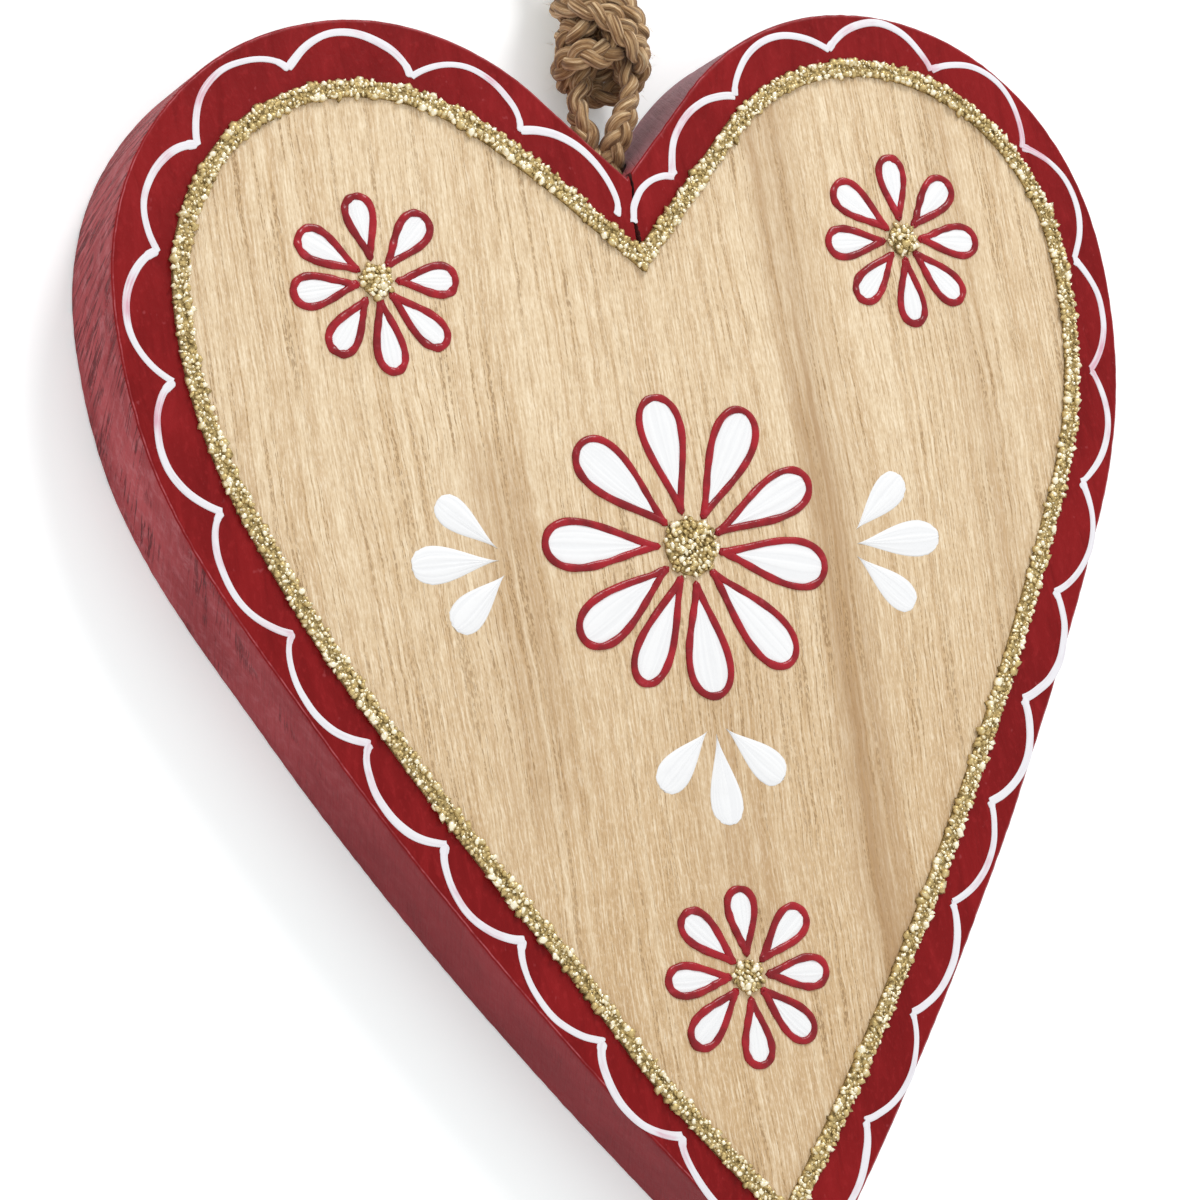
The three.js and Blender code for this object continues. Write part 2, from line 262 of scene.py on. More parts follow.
class Surface:
    """A node material, with short calls for the nodes that it is built from"""

    def __init__(self, name, roughness, specular=0.5, metallic=0.0):
        self.material = bpy.data.materials.new(name)
        self.material.use_nodes = True
        self.tree = self.material.node_tree
        self.shader = self.tree.nodes["Principled BSDF"]
        finish = {"Roughness": roughness, "Specular IOR Level": specular, "Metallic": metallic}
        fill_inputs(self.shader, finish)
        self.place = self.tree.nodes.new("ShaderNodeTexCoord").outputs["Object"]
        self.base = None

    def node(self, kind, inputs=(), **settings):
        node = self.tree.nodes.new(kind)
        for key, value in settings.items():
            setattr(node, key, value)
        for key, value in dict(inputs).items():
            if isinstance(value, bpy.types.NodeSocket):
                self.tree.links.new(value, node.inputs[key])
            else:
                fill_inputs(node, {key: value})
        return node

    def math(self, operation, first, second=0.0, third=0.0):
        return self.node("ShaderNodeMath", {0: first, 1: second, 2: third}, operation=operation).outputs[0]

    def times(self, first, second):
        return self.math("MULTIPLY", first, second)

    def noise(self, factors, detail=3, roughness=0.5, distortion=0.0, vector=None):
        """Noise over the place on the surface, or over another vector, scaled along each axis"""
        vector = vector or self.place
        if factors:
            inputs = {0: vector, 1: factors}
            vector = self.node("ShaderNodeVectorMath", inputs, operation="MULTIPLY").outputs[0]
        inputs = {"Vector": vector, "Scale": 1.0, "Detail": detail, "Roughness": roughness}
        inputs["Distortion"] = distortion
        return self.node("ShaderNodeTexNoise", inputs).outputs["Fac"]

    def ramp(self, value, low, high, start=0.0, end=1.0):
        """A smooth change from one number to another as the value goes from low to high"""
        inputs = {"Value": value, "From Min": low, "From Max": high, "To Min": start, "To Max": end}
        return self.node("ShaderNodeMapRange", inputs, interpolation_type="SMOOTHSTEP").outputs["Result"]

    def mix(self, share, first, second):
        first, second = ((*one, 1.0) if isinstance(one, tuple) else one for one in (first, second))
        return self.node("ShaderNodeMix", {0: share, 6: first, 7: second}, data_type="RGBA").outputs[2]

    def attribute(self, name, output="Fac"):
        return self.node("ShaderNodeAttribute", attribute_name=name).outputs[output]

    def parts(self):
        """The place on the surface, taken apart"""
        return self.node("ShaderNodeSeparateXYZ", {0: self.place}).outputs

    def join(self, x, y):
        return self.node("ShaderNodeCombineXYZ", {0: x, 1: y}).outputs[0]

    def start(self, value, low, high, first, second):
        """The first colours, from one to the other as the value goes from low to high"""
        self.base = self.mix(self.ramp(value, low, high), first, second)

    def cover(self, share, colour):
        """Lays a colour over the ones so far"""
        self.base = self.mix(share, self.base, colour)

    def layer(self, value, low, high, share, colour):
        """Lays a colour over the ones so far, up to a share of it as the value goes from low to high"""
        self.cover(self.ramp(value, low, high, 0, share), colour)

    def finish(self):
        self.tree.links.new(self.base, self.shader.inputs["Base Color"])
        return self.material

    def rough(self, value):
        self.tree.links.new(value, self.shader.inputs["Roughness"])

    def bump(self, height, distance, strength):
        inputs = {"Height": height, "Distance": distance, "Strength": strength}
        node = self.node("ShaderNodeBump", inputs)
        self.tree.links.new(node.outputs["Normal"], self.shader.inputs["Normal"])


def red_paint():
    """Brushed satin paint on the front and back faces"""
    s = Surface("red_paint", 0.42, 0.11)
    clouds = s.noise((70, 45, 70))
    strokes = s.noise((420, 95, 300), 4, 0.6, 0.6)
    crumbs = s.noise((1300, 800, 1300), 3, 0.6)
    highlight_specks = s.noise((900, 620, 900), 2)
    s.start(clouds, 0.3, 0.72, (0.18, 0.004, 0.005), (0.236, 0.0065, 0.0078))
    # Darker in the low brush strokes and lighter on the high ones: painted shade and painted highlight of the
    # brush relief
    s.layer(strokes, 0.5, 0.32, 0.38, (0.13, 0.002, 0.0025))
    s.layer(strokes, 0.5, 0.72, 0.3, (0.34, 0.015, 0.018))
    s.layer(crumbs, 0.52, 0.72, 0.3, (0.33, 0.018, 0.02))
    # Pale specks of painted highlight
    s.layer(highlight_specks, 0.7, 0.82, 0.35, (0.42, 0.08, 0.09))
    # A painted highlight runs in a broken line along the eased front edge
    breaks = s.ramp(s.noise((420, 420, 420), 4, 0.7), 0.40, 0.62, 0.25, 1.0)
    edge_highlight = s.times(s.ramp(s.attribute("arris"), 0.5, 0.95), breaks)
    s.cover(s.times(edge_highlight, 0.8), (0.50, 0.12, 0.135))
    s.rough(s.ramp(strokes, 0.3, 0.7, 0.36, 0.5))
    s.bump(s.math("ADD", s.times(strokes, 0.8), s.times(crumbs, 0.3)), 0.0003, 0.7)
    return s.finish()


def side_paint():
    """Thin paint over the sawn edge, torn along the slanting saw marks, with painted sheen towards the lobes
    and painted shade in the marks and low fibres
    """
    s = Surface("side_paint", 0.62, 0.2)
    across, along, _ = s.parts()
    wall = s.attribute("wall", "Vector")
    clouds = s.noise((45, 45, 90), 4)
    speckle = s.noise((600, 450, 600), 4, 0.65)
    fibres = s.noise((1.5, 0.14, 0), 4, 0.7, vector=wall)
    tears = s.noise((0.6, 0.045, 0), 4, 0.62, 0.15, wall)
    places = s.noise((0.075, 0.13, 0), 3, 0.6, vector=wall)
    crowd = s.ramp(s.math("ADD", places, s.ramp(along, 0.01, 0.068, -0.07, 0.1)), 0.42, 0.6)
    # Deep red near the tip, lighter and greyer towards the lobes: painted sheen
    lobe_sheen = s.ramp(s.math("MULTIPLY_ADD", clouds, 0.05, along), -0.01, 0.07, 0.08, 1.0)
    smooth = s.mix(s.ramp(clouds, 0.32, 0.7), (0.16, 0.006, 0.010), (0.21, 0.0105, 0.016))
    sheen_red = s.mix(s.ramp(clouds, 0.32, 0.7), (0.27, 0.027, 0.033), (0.38, 0.058, 0.066))
    s.base = s.mix(lobe_sheen, smooth, sheen_red)
    # Pale specks of painted sheen, stronger towards the lobes
    s.cover(s.times(s.ramp(speckle, 0.45, 0.72, 0, 0.5), lobe_sheen), (0.45, 0.15, 0.165))
    # Darker in the low fibres and, towards the lobes, lighter on the high ones: painted shade and painted
    # sheen on the relief
    s.layer(fibres, 0.48, 0.34, 0.22, (0.12, 0.008, 0.011))
    s.cover(s.times(s.ramp(fibres, 0.54, 0.72, 0, 0.25), lobe_sheen), (0.50, 0.17, 0.185))
    # Painted shade in the torn lines and the saw marks, most towards the lobes
    row = s.math("ABSOLUTE", s.math("SUBTRACT", tears, 0.5))
    cut = s.times(s.ramp(row, 0.032, 0.01), s.ramp(crowd, 0, 1, 0.06, 1.0))
    shaded_marks = s.math("MAXIMUM", cut, s.ramp(s.attribute("groove"), 0.2, 0.9, 0, 0.8))
    shaded_marks = s.times(shaded_marks, s.ramp(lobe_sheen, 0.1, 0.8, 0.12, 1.0))
    # Greyer on the right lobe's side of the notch
    grey = s.times(s.ramp(across, 0.0, 0.003), s.ramp(across, 0.045, 0.02))
    grey = s.times(grey, s.ramp(along, 0.064, 0.074, 0, 0.7))
    s.cover(grey, (0.24, 0.15, 0.17))
    shaded_marks = s.times(shaded_marks, s.math("MULTIPLY_ADD", grey, -1.2, 1.0))
    # The painted shade in the marks, weaker on the grey
    s.cover(s.times(shaded_marks, 0.8), (0.07, 0.004, 0.006))
    height = s.math("ADD", s.times(speckle, 0.35), s.times(fibres, 0.6))
    s.bump(s.math("SUBTRACT", height, s.times(shaded_marks, 0.9)), 0.00035, 0.8)
    return s.finish()


def bare_wood():
    """Straight-grained pale wood with fine dark pores and brown bands"""
    s = Surface("bare_wood", 0.62, 0.25)
    across, along, _ = s.parts()
    sway = s.noise((16, 9, 0), 2)
    ripple = s.noise((170, 170, 0))
    bent = s.math("MULTIPLY_ADD", s.math("SUBTRACT", sway, 0.5), 0.008, across)
    bent = s.math("MULTIPLY_ADD", s.math("SUBTRACT", ripple, 0.5), 0.0007, bent)
    grain = s.join(bent, along)

    def streaks(thin, long, detail=3, roughness=0.5):
        return s.noise((thin, long, 1), detail, roughness, vector=grain)

    broad = streaks(70, 4)
    rings = streaks(560, 9, 3, 0.6)
    fibres = streaks(3100, 210, 3, 0.65)
    crumbs = streaks(3500, 1100, 3, 0.6)
    dashes = streaks(3200, 1100, 2)
    lines = streaks(620, 7, 2)
    patches = streaks(75, 45)

    tone = s.math("MULTIPLY_ADD", s.ramp(along, -0.07, 0.05), 0.4, s.times(broad, 0.65))
    s.start(tone, 0.15, 0.85, (0.565, 0.385, 0.205), (0.735, 0.575, 0.375))
    s.layer(rings, 0.47, 0.66, 0.5, (0.52, 0.34, 0.175))
    s.layer(rings, 0.48, 0.32, 0.4, (0.80, 0.66, 0.46))
    s.layer(fibres, 0.5, 0.66, 0.48, (0.42, 0.27, 0.135))
    s.layer(fibres, 0.5, 0.34, 0.48, (0.93, 0.81, 0.61))
    s.layer(crumbs, 0.5, 0.68, 0.26, (0.44, 0.29, 0.15))
    s.layer(crumbs, 0.5, 0.34, 0.26, (0.93, 0.81, 0.63))
    for middle, width, low, high, depth in WOOD_BANDS:
        reach = s.math("DIVIDE", s.math("SUBTRACT", bent, middle), width)
        band = s.math("EXPONENT", s.times(s.times(reach, reach), -1.0))
        ends = s.times(s.ramp(along, low, low + BAND_FADE), s.ramp(along, high + BAND_FADE, high))
        share = s.times(s.times(band, ends), s.ramp(rings, 0.3, 0.62, 0.35, 1.0))
        s.cover(s.times(share, depth), (0.38, 0.225, 0.105))
    # Pores lie in broken lines along the grain, each line in a golden streak
    row = s.math("ABSOLUTE", s.math("SUBTRACT", lines, 0.5))
    crowd = s.ramp(patches, 0.36, 0.62, 0.3, 1.0)
    s.cover(s.times(s.ramp(row, 0.05, 0.008, 0, 0.34), crowd), (0.52, 0.325, 0.14))
    open_pores = s.times(s.ramp(dashes, 0.42, 0.6), s.times(s.ramp(row, 0.02, 0.005), crowd))
    s.cover(s.times(open_pores, 0.62), (0.26, 0.145, 0.06))
    s.rough(s.ramp(fibres, 0.3, 0.7, 0.55, 0.7))
    s.bump(s.math("SUBTRACT", s.times(crumbs, 0.4), s.times(open_pores, 0.9)), 0.00014, 0.6)
    return s.finish()


def cut_wood():
    """Bare fibres inside the split and the hole, in their own shadow"""
    s = Surface("cut_wood", 0.85)
    s.start(s.noise((900, 120, 900)), 0.3, 0.7, (0.05, 0.006, 0.006), (0.13, 0.02, 0.016))
    return s.finish()


def white_paint():
    """Opaque white brush paint"""
    s = Surface("white_paint", 0.5)
    cover = s.noise((300, 300, 300), 3, 0.6)
    # Bluish grey where the brush furrows dip: painted shade
    s.base = s.mix(s.ramp(s.attribute("streak"), 0.3, 0.9, 0, 0.2), (0.825, 0.83, 0.835), (0.63, 0.645, 0.67))
    s.layer(cover, 0.5, 0.8, 0.2, (0.70, 0.70, 0.71))
    s.bump(s.noise((1500, 1500, 1500), 2), 0.00005, 0.4)
    return s.finish()


def thin_white_paint():
    """White line paint, streaked along each stroke where the red shows through"""
    s = Surface("thin_white_paint", 0.5)
    hairs = s.noise(None, 3, 0.6, vector=s.attribute("stroke", "Vector"))
    cover = s.noise((110, 90, 110), 3, 0.6)
    s.base = s.mix(s.ramp(hairs, 0.45, 0.75, 0, 0.6), (0.76, 0.75, 0.785), (0.62, 0.56, 0.61))
    s.cover(s.times(s.ramp(cover, 0.5, 0.7), s.ramp(hairs, 0.3, 0.62, 0.2, 0.8)), (0.62, 0.27, 0.36))
    s.bump(hairs, 0.00006, 0.5)
    return s.finish()


def red_liner():
    """Glossy raised outline paint that pools darker here and there"""
    s = Surface("red_liner", 0.26, 0.3)
    clouds = s.noise((330, 330, 330))
    s.start(clouds, 0.3, 0.7, (0.20, 0.0035, 0.008), (0.36, 0.007, 0.016))
    s.layer(s.noise((700, 650, 700), 2), 0.62, 0.8, 0.3, (0.55, 0.08, 0.11))
    s.bump(clouds, 0.0004, 0.8)
    return s.finish()


def gold_glitter():
    """Pale gold nuggets in darker olive paste"""
    s = Surface("gold_glitter", 0.3, metallic=0.55)
    glints_and_shade = s.noise((1500, 1500, 1500), 3, 0.6)
    # Fine noise adds painted glints and painted shade to each grain's tint
    tone = s.math("MULTIPLY_ADD", s.math("SUBTRACT", glints_and_shade, 0.5), 1.1, s.attribute("tint_and_shade"))
    s.start(tone, 0.05, 0.45, (0.16, 0.105, 0.03), (0.62, 0.47, 0.20))
    # The palest tones are painted highlights
    s.layer(tone, 0.5, 0.95, 1.0, (1.0, 0.93, 0.70))
    s.rough(s.ramp(tone, 0.0, 1.0, 0.55, 0.22))
    return s.finish()


def jute():
    """Dry twisted plant fibre, streaked along each strand"""
    s = Surface("jute", 0.9, 0.2)
    strand = s.attribute("fibre", "Vector")
    fibres = s.noise(None, 4, 0.65, vector=strand)
    hairs = s.noise((2.9, 2.9, 1.6), 3, 0.6, vector=strand)
    s.start(s.noise((210, 210, 210)), 0.3, 0.7, (0.43, 0.25, 0.11), (0.56, 0.36, 0.18))
    s.layer(hairs, 0.52, 0.34, 0.55, (0.22, 0.11, 0.042))
    s.layer(hairs, 0.52, 0.68, 0.55, (0.80, 0.60, 0.36))
    s.layer(fibres, 0.52, 0.36, 0.85, (0.155, 0.07, 0.025))
    s.layer(fibres, 0.53, 0.66, 0.85, (0.88, 0.68, 0.42))
    # Darker where the plies dip: painted shade between the plies
    s.layer(s.attribute("tint_and_shade"), 0.5, 0.05, 0.8, (0.095, 0.042, 0.016))
    fill_inputs(s.shader, {"Sheen Weight": 0.15})
    s.bump(s.math("MULTIPLY_ADD", hairs, 0.4, fibres), 0.0004, 0.9)
    return s.finish()


def unit_noise(values, period, count, rng):
    """Smooth random wave along a closed length, between about -1 and 1"""
    total = np.zeros_like(values)
    for order in range(1, count + 1):
        turn = 2 * math.pi * order * values / period + rng.uniform(0, 2 * math.pi)
        total += np.sin(turn) * rng.uniform(0.5, 1)
    return total / math.sqrt(count)


def make_mesh(name, points, faces, materials, smooth=True, material_index=None, attributes=()):
    mesh = bpy.data.meshes.new(name)
    mesh.from_pydata(np.asarray(points, float).tolist(), [], faces)
    for material in materials:
        mesh.materials.append(material)
    flags = np.full(len(faces), smooth) if isinstance(smooth, bool) else np.asarray(smooth, bool)
    mesh.polygons.foreach_set("use_smooth", flags)
    if material_index is not None:
        mesh.polygons.foreach_set("material_index", np.asarray(material_index, np.int32))
    for key, values in dict(attributes).items():
        values = np.asarray(values, np.float32)
        if values.ndim == 2:
            mesh.attributes.new(key, "FLOAT_VECTOR", "POINT").data.foreach_set("vector", values.ravel())
        else:
            mesh.attributes.new(key, "FLOAT", "POINT").data.foreach_set("value", values)
    mesh.update()
    piece = bpy.data.objects.new(name, mesh)
    bpy.context.scene.collection.objects.link(piece)
    return piece


def merged_mesh(name, parts, material):
    """One mesh from several lists of points, faces and attribute values"""
    points, faces, values = [], [], {}
    first = 0
    for part_points, part_faces, part_values in parts:
        points.append(part_points)
        faces.extend([[first + i for i in face] for face in part_faces])
        for key, value in part_values.items():
            values.setdefault(key, []).append(value)
        first += len(part_points)
    values = {key: np.concatenate(value) for key, value in values.items()}
    return make_mesh(name, np.concatenate(points), faces, [material], attributes=values)


def ring_faces(rows, columns, closed_rows=False, closed_columns=True):
    """Quads between rows of points; a row runs round the form, and the rows follow one another"""
    faces = []
    for row in range(rows if closed_rows else rows - 1):
        above = (row + 1) % rows
        for i in range(columns if closed_columns else columns - 1):
            j = (i + 1) % columns
            faces.append([row * columns + i, row * columns + j, above * columns + j, above * columns + i])
    return faces


def unit(vectors):
    """Rows of vectors, each made one long"""
    return vectors / np.linalg.norm(vectors, axis=1)[:, None]


def square_to(vectors, run):
    """Rows of vectors without their part along the run"""
    return vectors - run * np.sum(vectors * run, axis=1)[:, None]


def between(at, stops, table, period=None):
    """Rows of the table at places between its stops"""
    columns = [np.interp(at, stops, column, period=period) for column in table.T]
    return np.stack(columns, axis=1)


def circle(sides):
    return np.arange(sides) * 2 * math.pi / sides


def at_height(ring, height):
    return np.column_stack([ring, np.full(len(ring), height)])


def arc(centre, radius, start, end, steps):
    turn = np.linspace(start, end, steps, endpoint=False)
    return centre + radius * np.stack([np.cos(turn), np.sin(turn)], axis=1)


def direction(angle):
    return np.array([math.cos(angle), math.sin(angle)])


def heart_outline(inset=0.0, tip_radius=TIP_RADIUS):
    """The outline drawn in by a distance, as one loop from the notch down the right side and up the left"""
    straight, lobe_steps, flank_steps, lower_steps, tip_steps = OUTLINE_STEPS
    lobe = np.array([LOBE_OFFSET, LOBE_Y])
    flank = lobe + direction(FLANK_START) * (LOBE_RADIUS - FLANK_RADIUS)
    lower = flank + direction(LOWER_FLANK_START) * (FLANK_RADIUS - LOWER_FLANK_RADIUS)
    reach = LOWER_FLANK_RADIUS - inset - tip_radius
    tip = np.array([0, lower[1] - math.sqrt(reach ** 2 - lower[0] ** 2)])
    tip_start = math.atan2(tip[1] - lower[1], tip[0] - lower[0])
    start = lobe + direction(LOBE_START) * (LOBE_RADIUS - inset)
    notch = np.array([0, start[1] - start[0]])
    share = np.arange(1, straight)[:, None] / straight
    right = np.concatenate([
        notch + (start - notch) * share,
        arc(lobe, LOBE_RADIUS - inset, LOBE_START, FLANK_START, lobe_steps),
        arc(flank, FLANK_RADIUS - inset, FLANK_START, LOWER_FLANK_START, flank_steps),
        arc(lower, LOWER_FLANK_RADIUS - inset, LOWER_FLANK_START, tip_start, lower_steps),
        arc(tip, tip_radius, tip_start, -math.pi / 2, tip_steps),
    ])
    left = right[::-1] * (-1, 1)
    return np.concatenate([[notch], right, [tip - (0, tip_radius)], left])


def loop_lengths(loop):
    """Distance from the loop's first point to each point, and the whole way round"""
    steps = np.hypot(*(np.roll(loop, -1, axis=0) - loop).T)
    return np.concatenate([[0], np.cumsum(steps)[:-1]]), steps.sum()


def outward(loop):
    """Unit normals of a loop that runs clockwise"""
    run = unit(np.roll(loop, -1, axis=0) - np.roll(loop, 1, axis=0))
    return np.stack([-run[:, 1], run[:, 0]], axis=1)


def glitter_drift(share):
    stops, drifts = np.array(GLITTER_DRIFT).T
    drifts = drifts * MM
    after = np.clip(np.searchsorted(stops, share), 1, len(stops) - 1)
    part = (share - stops[after - 1]) / (stops[after] - stops[after - 1])
    part = part * part * (3 - 2 * part)
    return drifts[after - 1] + (drifts[after] - drifts[after - 1]) * part


def glitter_loop(inset):
    """One loop of the glitter line, with its left side and its tip moved as the hand laid them"""
    loop = heart_outline(inset, GLITTER_TIP_RADIUS)
    tip = len(loop) // 2
    tip_steps = OUTLINE_STEPS[-1]
    travelled, whole = loop_lengths(loop)
    share = (travelled - travelled[tip]) / (whole - travelled[tip])
    inwards = -outward(loop)
    moved = loop.copy()
    left = np.arange(tip + tip_steps + 1, len(loop))
    moved[left] += inwards[left] * glitter_drift(share[left])[:, None]
    moved[tip - tip_steps:tip + tip_steps + 1] += GLITTER_TIP_SHIFT
    return moved


def saw_slant(count):
    """How far a saw mark leans along the outline for each step up the wall, the other way on each side"""
    return np.where(np.arange(count) < count // 2, -SAW_SLANT, SAW_SLANT)


def saw_grooves(along, whole, heights, rng):
    """Depth share of the saw marks across the edge, for each row height and each point of the outline"""
    count = len(along)
    depth = np.zeros((len(heights), count))
    slant = saw_slant(count)
    rows = np.asarray(heights)[:, None]
    spread = unit_noise(along, whole, 9, rng)
    torn = np.clip(heart_outline()[:, 1] / (60 * MM) + 0.2, 0.1, 1)
    for _ in range(SAW_MARKS):
        centre = rng.uniform(0, whole)
        column = min(np.searchsorted(along, centre), count - 1)
        crowd = 0.5 + 0.5 * np.clip(spread[column], -1, 1)
        reach = rng.uniform(3, 15) * MM * (0.5 + 0.5 * crowd)
        middle = rng.uniform(0, FACE)
        width = rng.uniform(0.35, 0.6) * MM
        lean = rng.normal(0, 0.05)
        near = np.arange(column - 24, column + 24) % count
        offset = along[near] - centre - slant[near] * (1 + lean) * (rows - middle)
        offset = (offset + whole / 2) % whole - whole / 2
        ends = np.clip(1 - (np.abs(rows - middle) / (reach / 2)) ** 4, 0, 1)
        mark = np.exp(-(offset / width) ** 2) * ends * rng.uniform(0.35, 1) * torn[column]
        depth[:, near] = np.maximum(depth[:, near], mark)
    return depth


def board_mesh(paint, side, wood):
    """The board: flat back, sawn edge with its marks, eased edges, painted band and bare panel"""
    rng = np.random.default_rng(11)
    loop = heart_outline()
    along, whole = loop_lengths(loop)
    wobble = unit_noise(along, whole, 26, rng) * WOBBLE
    nick = unit_noise(along, whole, 260, rng) * NICKS

    ease = np.radians([90, 60, 30])
    profile = [(EDGE_ROUNDING * (1 - math.cos(a)), EDGE_ROUNDING * (1 - math.sin(a))) for a in ease]
    wall = np.linspace(EDGE_ROUNDING, FACE - EDGE_ROUNDING, WALL_ROWS)
    heights = [z for _, z in profile] + list(wall) + [FACE - z for _, z in reversed(profile)]
    insets = [inset for inset, _ in profile] + [0] * WALL_ROWS + [inset for inset, _ in reversed(profile)]
    grooves = saw_grooves(along, whole, heights, rng)
    from_face = np.minimum(np.array(heights), FACE - np.array(heights))
    grooves *= np.clip(from_face / SAW_FADE, 0, 1)[:, None]

    rows = []
    for inset, height, marks in zip(insets, heights, grooves):
        ring = heart_outline(inset)
        out = wobble - marks * SAW_DEPTH
        if inset > 0:
            out = out + nick
        rows.append(at_height(ring + outward(ring) * out[:, None], height))
    border = rows[-1][:, :2]
    middle_line = glitter_loop(GLITTER_INSET)
    for k in range(1, BAND_ROWS + 1):
        share = k / BAND_ROWS
        rows.append(at_height(border * (1 - share) + middle_line * share, FACE))
    columns = len(loop)
    count = len(rows)
    # The painted highlight line runs along the middle of the eased front edge
    arris = np.zeros((count, columns))
    arris[len(heights) - 2] = 1
    # Rows run clockwise seen from above, so quads are turned to face outwards
    faces = [face[::-1] for face in ring_faces(count, columns)]
    wall_faces = (len(heights) - 3) * columns
    band_faces = (count - 1) * columns
    index = [1] * wall_faces + [0] * (band_faces - wall_faces)
    smooth = [True] * ((len(heights) - 1) * columns) + [False] * (BAND_ROWS * columns)
    # The plain back, then the bare panel
    faces += [list(range(columns)), list(range((count - 1) * columns, count * columns))[::-1]]
    index += [0, 2]
    smooth += [False, False]
    marks = np.concatenate([grooves.ravel(), np.zeros(BAND_ROWS * columns)])
    points = np.concatenate(rows)
    rise = points[:, 2]
    lean = np.tile(along, count) - np.tile(saw_slant(columns), count) * rise
    wall_place = np.column_stack([lean, rise, np.zeros(len(points))]) / MM
    attributes = {"groove": marks, "arris": arris.ravel(), "wall": wall_place}
    return make_mesh("painted_board", points, faces, [paint, side, wood], smooth, index, attributes)


def hole_cutter(material):
    sides = 64
    notch_y = heart_outline()[0][1]
    turn = circle(sides)
    radius = CORD_HOLE_DIAMETER / 2 * (1 + 0.02 * np.sin(3 * turn))
    across = radius * np.cos(turn)
    rise = FACE / 2 - radius * np.sin(turn)
    rows = []
    for y in (notch_y - CORD_HOLE_DEPTH, notch_y + CORD_HOLE_DIAMETER):
        rows.append(np.column_stack([across, np.full(sides, y), rise]))
    faces = ring_faces(2, sides) + [list(range(sides))[::-1], list(range(sides, 2 * sides))]
    return make_mesh("hole_cutter", np.concatenate(rows), faces, [material], False)


def split_cutter(material):
    """A ragged wedge, widest at the face"""
    rng = np.random.default_rng(5)
    path = np.array(SPLIT_PATH) * MM
    fine = between(np.linspace(0, len(path) - 1, 41), np.arange(len(path)), path)
    fine[:, 0] += rng.normal(0, 0.035 * MM, len(fine))
    half = fine[:, 2] / 2 * rng.uniform(0.8, 1.2, len(fine))
    proud = 0.3 * MM
    rows = []
    for (x, y, _), w in zip(fine, half):
        rows.append([(x, y, FACE - SPLIT_DEPTH), (x + w, y, FACE + proud), (x - w, y, FACE + proud)])
    faces = ring_faces(len(rows), 3)
    last = 3 * (len(rows) - 1)
    faces += [[2, 1, 0], [last, last + 1, last + 2]]
    return make_mesh("split_cutter", np.concatenate(rows), faces, [material], False)


def cut_away(piece, cutter):
    """Takes the cutter's form out of the piece and applies the cut"""
    modifier = piece.modifiers.new("cut", "BOOLEAN")
    modifier.operation = "DIFFERENCE"
    modifier.solver = "EXACT"
    modifier.material_mode = "TRANSFER"
    modifier.object = cutter
    bpy.context.view_layer.update()
    cut = bpy.data.meshes.new_from_object(piece.evaluated_get(bpy.context.evaluated_depsgraph_get()))
    piece.modifiers.clear()
    piece.data = cut
    bpy.data.objects.remove(cutter)


def bead(path, half_width, height, closed):
    """A rounded bead of paint along a path on the face: half an ellipse with its foot sunk in the surface"""
    count = len(path)
    if closed:
        run = np.roll(path, -1, axis=0) - np.roll(path, 1, axis=0)
    else:
        run = np.gradient(path, axis=0)
    run /= np.linalg.norm(run, axis=1)[:, None] + 1e-12
    side = np.stack([run[:, 1], -run[:, 0]], axis=1)
    turn = np.linspace(0, math.pi, BEAD_SIDES)
    rows = []
    for i in range(count):
        across = np.cos(turn) * half_width[i]
        lift = np.sin(turn) ** 0.75 * height[i]
        ring = path[i] + side[i] * across[:, None]
        rows.append(np.column_stack([ring, FACE - PAINT_FOOT + lift + PAINT_FOOT * (np.sin(turn) > 0.01)]))
    faces = ring_faces(count, BEAD_SIDES, closed_rows=closed)
    if not closed:
        last = (count - 1) * BEAD_SIDES
        faces += [list(range(BEAD_SIDES))[::-1], [last + i for i in range(BEAD_SIDES)]]
    return np.concatenate(rows), faces


def scallop_stroke(start, end, rise, swell, rng):
    """One brush stroke from cusp to cusp, bulging out towards the edge"""
    chord = end - start
    out = np.array([-chord[1], chord[0]]) / np.linalg.norm(chord)
    if np.dot(out, (start + end) / 2 - np.array([0, LOBE_Y / 3])) < 0:
        out = -out
    phase = np.linspace(0, math.pi, SCALLOP_STEPS)
    sweep = (1 - np.cos(phase)) / 2
    bulge = np.sin(phase) ** (swell[0] + (swell[1] - swell[0]) * sweep)
    path = start + chord * sweep[:, None] + out * (bulge * rise)[:, None]
    path += smoothed(rng.normal(0, 0.09 * MM, path.shape), 3)
    order = np.arange(SCALLOP_STEPS)
    spread = np.interp(order, [0, 4, 14, 30, 42, SCALLOP_STEPS - 1], rng.uniform(0.8, 1.15, 6))
    half = SCALLOP_WIDTH / 2 * spread * rng.uniform(0.88, 1.12)
    ends = np.minimum(order, order[::-1]) + 0.6
    half *= np.clip(np.sqrt(ends / 2.0), 0, 1)
    half[1:6] *= 1.18
    return path, half


